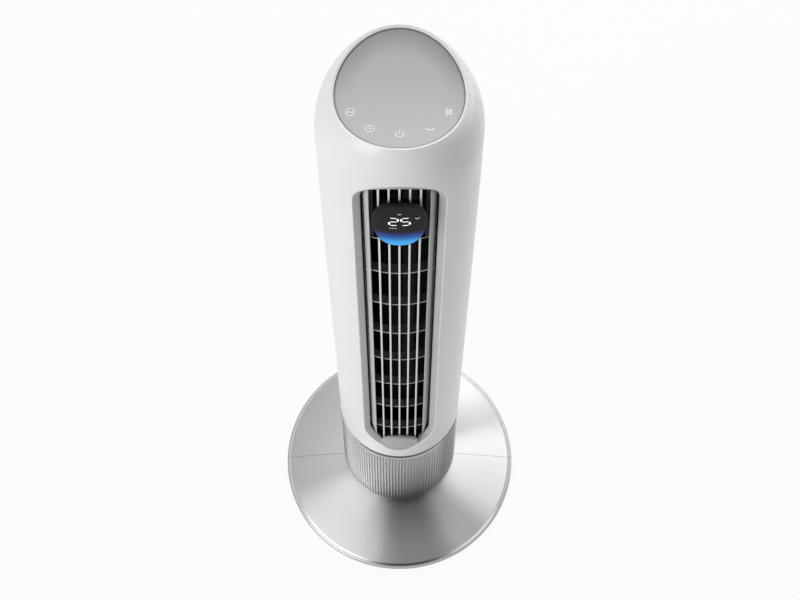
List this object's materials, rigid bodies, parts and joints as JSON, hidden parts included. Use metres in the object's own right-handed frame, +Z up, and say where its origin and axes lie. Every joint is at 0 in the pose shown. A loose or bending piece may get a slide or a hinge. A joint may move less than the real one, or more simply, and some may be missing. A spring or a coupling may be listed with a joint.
{
  "type": "tower fan",
  "caption": "Slim white column fan on a round brushed foot: tall grilled outlet, display pod, touch panel on the tilted head, swivelling tower, pull-out scent capsule.",
  "frame": {"origin": "centre of the round foot's underside, on the floor", "axes": "+Z up along the swivel axis; the air outlet looks along -Y; +X is to the right of someone who stands in front of the outlet and looks at it"},
  "size_m": [0.31, 0.31, 0.9403],
  "materials": {
    "shell": "satin white moulding",
    "panel": "satin light grey touch surface",
    "bezel": "satin mid grey moulding",
    "bars": "satin silver-grey moulding",
    "ribs": "matt dark grey moulding",
    "dark": "matt black moulding",
    "glass": "gloss black display window",
    "collar": "satin silver, ribbed",
    "base": "brushed, clear coated",
    "steel": "plain bright steel",
    "motor": "zinc plated steel can",
    "rubber": "matt black",
    "nylon": "natural nylon",
    "board": "solder mask green",
    "cap": "satin grey cap",
    "pad": "felt pad"
  },
  "bodies": {
    "base": {"base_front_half": "base", "base_rear_half": "base", "base_plate": "steel", "supply_box": "dark", "ribbed_collar": "collar", "cord_gland": "rubber", "swivel_deck": "dark", "glide_ring": "nylon", "oscillation_motor": "motor", "base_lead": "rubber", "foot_pad_1": "rubber", "foot_pad_2": "rubber", "foot_pad_3": "rubber", "foot_pad_4": "rubber", "foot_pad_5": "rubber", "foot_pad_6": "rubber", "base_screw_1": "steel", "base_screw_2": "steel", "base_screw_3": "steel", "base_screw_4": "steel", "collar_screw_1": "steel", "collar_screw_2": "steel", "collar_screw_3": "steel", "deck_screw_1": "steel", "deck_screw_2": "steel", "deck_screw_3": "steel"},
    "pinion": {"oscillation_pinion": "nylon"},
    "tower": {"turntable": "dark", "gear_ring": "nylon", "retaining_ring": "steel", "tower_floor": "dark", "front_shell": "shell", "rear_shell": "shell", "inlet_grille": "shell", "touch_panel": "panel", "touch_film": "board", "outlet_bezel": "bezel", "outlet_grille": "bars", "rib_ladder": "ribs", "display_housing": "dark", "display_board": "board", "display_lens": "glass", "scent_socket": "bezel", "duct_floor": "ribs", "duct_top": "ribs", "scroll_wall": "ribs", "tongue_wall": "ribs", "fan_motor": "motor", "upper_bush": "nylon", "main_board": "board", "tower_lead": "rubber", "shell_screw_1": "steel", "shell_screw_2": "steel", "shell_screw_3": "steel", "shell_screw_4": "steel"},
    "impeller": {"impeller": "dark"},
    "scent": {"scent_capsule": "cap", "scent_pad": "pad"}
  },
  "joints": [
    {"name": "tower_swivel", "type": "hinge", "parent": "base", "child": "tower", "pos_m": [0, 0, 0.204], "axis": [0, 0, 1], "range_deg": [-40, 40]},
    {"name": "pinion_spin", "type": "hinge", "parent": "base", "child": "pinion", "pos_m": [0, 0.04, 0.205], "axis": [0, 0, 1], "range_deg": [-125, 125]},
    {"name": "impeller_spin", "type": "hinge", "parent": "tower", "child": "impeller", "pos_m": [0, 0.008, 0.3], "axis": [0, 0, 1], "continuous": true},
    {"name": "scent_capsule_pull", "type": "slide", "parent": "tower", "child": "scent", "axis": [0, -1, 0], "range_m": [0, 0.025]}
  ],
  "couplings": [
    {"joint": "pinion_spin", "follows": "tower_swivel", "ratio": -3}
  ]
}
